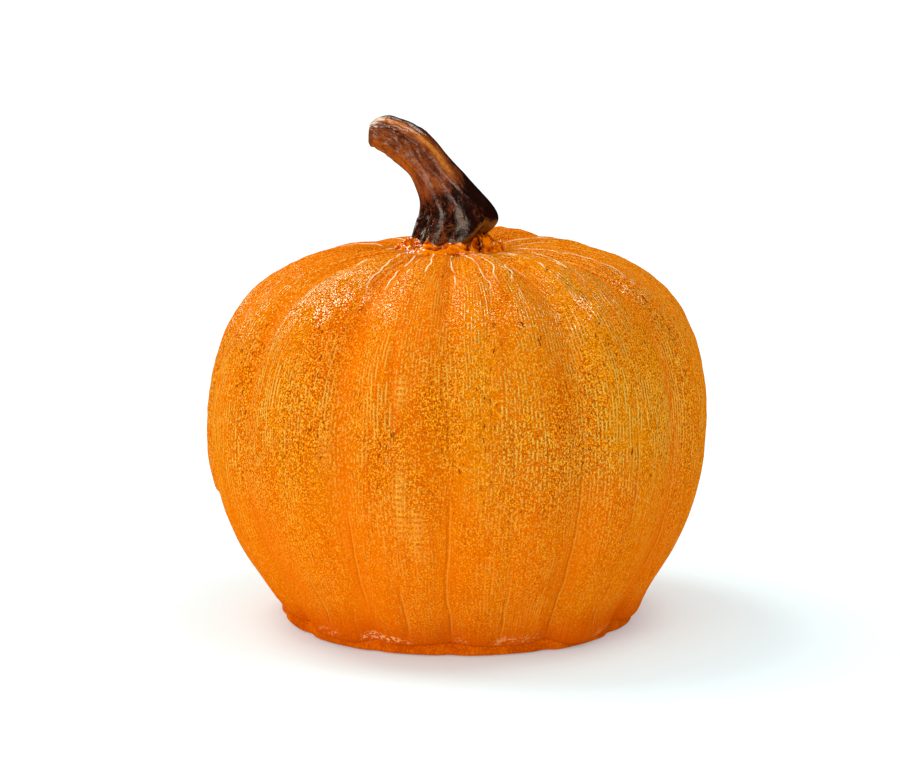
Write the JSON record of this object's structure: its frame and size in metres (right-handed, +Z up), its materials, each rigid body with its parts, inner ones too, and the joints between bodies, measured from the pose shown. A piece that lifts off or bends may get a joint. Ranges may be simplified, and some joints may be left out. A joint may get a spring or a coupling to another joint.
{
  "type": "ceramic pumpkin figure",
  "caption": "Free-standing glazed pumpkin figure with a ribbed hollow body, flat foot slab and a brown stem that leans to one side.",
  "frame": {"origin": "middle of the footprint, on the plane that the felt pads rest on", "axes": "+Z up through the stem's peg; -Y is the front of the figure; the stem leans towards -X"},
  "size_m": [0.1809, 0.1807, 0.1812],
  "materials": {
    "orange_glaze": "glossy orange glaze over a fine combed and beaded texture",
    "rim_glaze": "glossy red-orange glaze, pooled at the rim",
    "brown_glaze": "glossy glaze, amber-brown above and near black at the foot",
    "collar_glaze": "glossy dark orange glaze, ragged and wrinkled",
    "felt": "pressed felt"
  },
  "bodies": {
    "root": {"body_shell": "orange_glaze", "base_slab": "rim_glaze", "stem": "brown_glaze", "stem_collar": "collar_glaze", "felt_pad_1": "felt", "felt_pad_2": "felt", "felt_pad_3": "felt", "felt_pad_4": "felt"}
  },
  "joints": []
}
